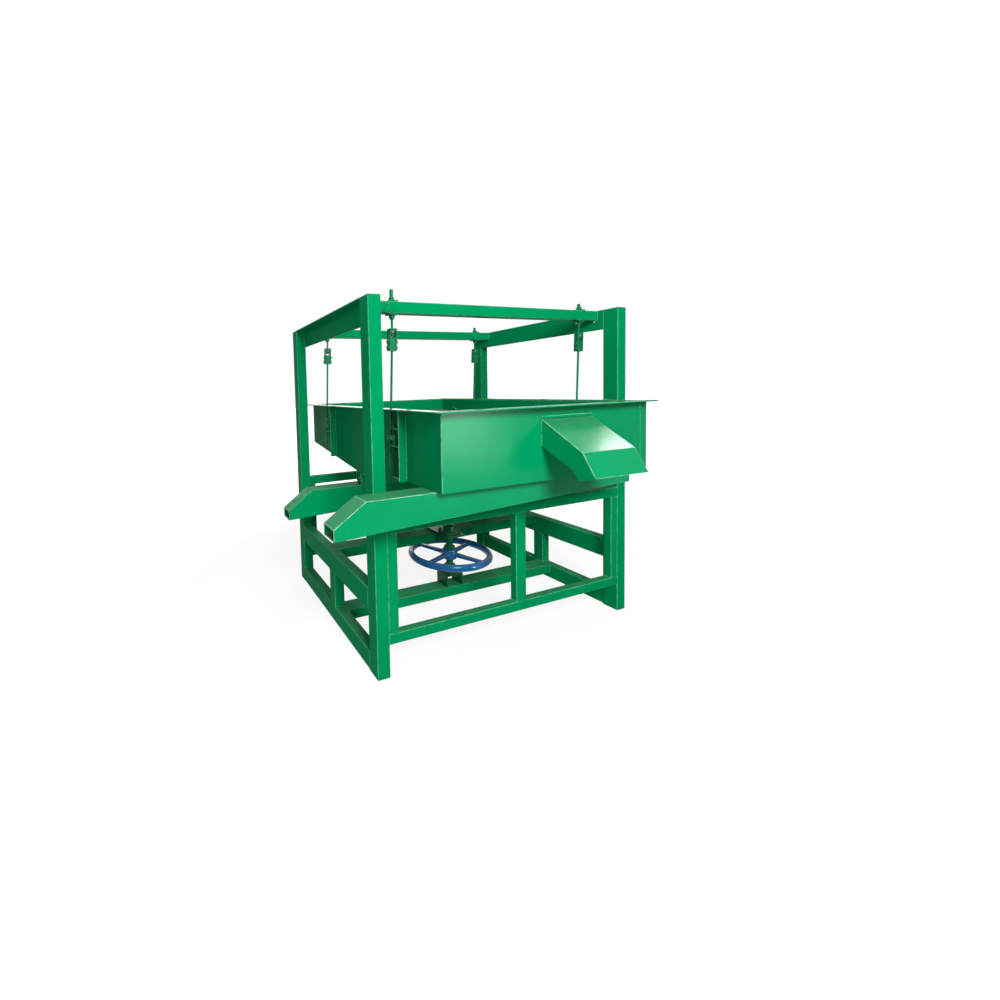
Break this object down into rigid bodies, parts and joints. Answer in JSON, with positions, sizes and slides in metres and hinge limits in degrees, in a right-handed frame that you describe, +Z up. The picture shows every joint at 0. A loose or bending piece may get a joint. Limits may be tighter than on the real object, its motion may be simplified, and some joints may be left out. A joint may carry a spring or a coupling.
{
  "type": "seed separator",
  "caption": "Suspended gyratory sieve for cleaning seed: a four-post frame hangs a rectangular tray on rods, and a vertical crank with a handwheel swings it over side and front spouts.",
  "frame": {"origin": "on the floor under the middle of the whole machine", "axes": "+Z up, +X to the right along the front of the frame, +Y from the hood towards the back"},
  "size_m": [1.663, 1.777, 1.604],
  "materials": {
    "green_enamel": "glossy enamel",
    "dark_green_enamel": "glossy enamel over castings and fasteners",
    "blue_enamel": "glossy enamel",
    "screen_steel": "perforated sheet",
    "bare_steel": "oiled steel"
  },
  "bodies": {
    "frame": {"left_front_column": "green_enamel", "right_front_column": "green_enamel", "left_rear_column": "green_enamel", "right_rear_column": "green_enamel", "base_rails": "green_enamel", "side_mid_rails": "green_enamel", "side_posts": "green_enamel", "end_lower_rails": "green_enamel", "end_mid_rails": "green_enamel", "end_posts": "green_enamel", "left_header": "green_enamel", "right_header": "green_enamel", "front_top_rail": "green_enamel", "rear_top_rail": "green_enamel", "patch_plates": "green_enamel", "lower_cross_beam": "green_enamel", "upper_cross_beam": "green_enamel", "lower_bearing_bracket": "green_enamel", "upper_bearing_bracket": "green_enamel", "lower_bearing": "dark_green_enamel", "upper_bearing": "dark_green_enamel", "bearing_bolts": "dark_green_enamel", "hanger_studs": "dark_green_enamel", "hanger_nuts": "dark_green_enamel"},
    "crankshaft": {"drive_shaft": "dark_green_enamel", "handwheel": "blue_enamel", "wheel_collar": "dark_green_enamel", "crank": "dark_green_enamel"},
    "tray": {"tray_front_wall": "green_enamel", "tray_rear_wall": "green_enamel", "tray_left_wall": "green_enamel", "tray_right_wall": "green_enamel", "tray_strips": "green_enamel", "tray_rim": "green_enamel", "tray_bottom_pan": "green_enamel", "sieve_deck": "screen_steel", "deck_supports": "green_enamel", "deck_clamps": "dark_green_enamel", "discharge_hood": "green_enamel", "front_trough": "green_enamel", "rear_trough": "green_enamel", "rear_chute": "green_enamel", "trough_links": "dark_green_enamel", "drive_beam": "green_enamel", "crank_pin_bearing": "dark_green_enamel", "hanger_brackets": "green_enamel", "bracket_pins": "dark_green_enamel", "rod_clamps": "dark_green_enamel"},
    "front_left_ball": {"front_left_ball_nut": "bare_steel"},
    "front_left_rod": {"front_left_clevis": "dark_green_enamel", "front_left_rod": "green_enamel"},
    "front_right_ball": {"front_right_ball_nut": "bare_steel"},
    "front_right_rod": {"front_right_clevis": "dark_green_enamel", "front_right_rod": "green_enamel"},
    "rear_left_ball": {"rear_left_ball_nut": "bare_steel"},
    "rear_left_rod": {"rear_left_clevis": "dark_green_enamel", "rear_left_rod": "green_enamel"},
    "rear_right_ball": {"rear_right_ball_nut": "bare_steel"},
    "rear_right_rod": {"rear_right_clevis": "dark_green_enamel", "rear_right_rod": "green_enamel"}
  },
  "joints": [
    {"name": "crankshaft_spin", "type": "hinge", "parent": "frame", "child": "crankshaft", "pos_m": [0.0915, 0.0315, 0.25], "axis": [0, 0, 1], "continuous": true},
    {"name": "tray_orbit", "type": "hinge", "parent": "crankshaft", "child": "tray", "pos_m": [0.0715, 0.0315, 0.642], "axis": [0, 0, 1], "continuous": true},
    {"name": "front_left_ball_sweep", "type": "hinge", "parent": "frame", "child": "front_left_ball", "pos_m": [-0.4215, -0.3085, 1.424], "axis": [0, 0, 1], "continuous": true},
    {"name": "front_left_rod_roll", "type": "hinge", "parent": "front_left_ball", "child": "front_left_rod", "pos_m": [-0.4215, -0.3085, 1.424], "axis": [0.044, 0, 0.999], "continuous": true},
    {"name": "front_right_ball_sweep", "type": "hinge", "parent": "frame", "child": "front_right_ball", "pos_m": [0.6705, -0.3085, 1.424], "axis": [0, 0, 1], "continuous": true},
    {"name": "front_right_rod_roll", "type": "hinge", "parent": "front_right_ball", "child": "front_right_rod", "pos_m": [0.6705, -0.3085, 1.424], "axis": [0.044, 0, 0.999], "continuous": true},
    {"name": "rear_left_ball_sweep", "type": "hinge", "parent": "frame", "child": "rear_left_ball", "pos_m": [-0.4215, 0.5095, 1.424], "axis": [0, 0, 1], "continuous": true},
    {"name": "rear_left_rod_roll", "type": "hinge", "parent": "rear_left_ball", "child": "rear_left_rod", "pos_m": [-0.4215, 0.5095, 1.424], "axis": [0.044, 0, 0.999], "continuous": true},
    {"name": "rear_right_ball_sweep", "type": "hinge", "parent": "frame", "child": "rear_right_ball", "pos_m": [0.6705, 0.5095, 1.424], "axis": [0, 0, 1], "continuous": true},
    {"name": "rear_right_rod_roll", "type": "hinge", "parent": "rear_right_ball", "child": "rear_right_rod", "pos_m": [0.6705, 0.5095, 1.424], "axis": [0.044, 0, 0.999], "continuous": true}
  ],
  "couplings": [
    {"joint": "tray_orbit", "follows": "crankshaft_spin", "ratio": -1},
    {"joint": "front_left_ball_sweep", "follows": "crankshaft_spin", "ratio": 1},
    {"joint": "front_left_rod_roll", "follows": "crankshaft_spin", "ratio": -1},
    {"joint": "front_right_ball_sweep", "follows": "crankshaft_spin", "ratio": 1},
    {"joint": "front_right_rod_roll", "follows": "crankshaft_spin", "ratio": -1},
    {"joint": "rear_left_ball_sweep", "follows": "crankshaft_spin", "ratio": 1},
    {"joint": "rear_left_rod_roll", "follows": "crankshaft_spin", "ratio": -1},
    {"joint": "rear_right_ball_sweep", "follows": "crankshaft_spin", "ratio": 1},
    {"joint": "rear_right_rod_roll", "follows": "crankshaft_spin", "ratio": -1}
  ]
}
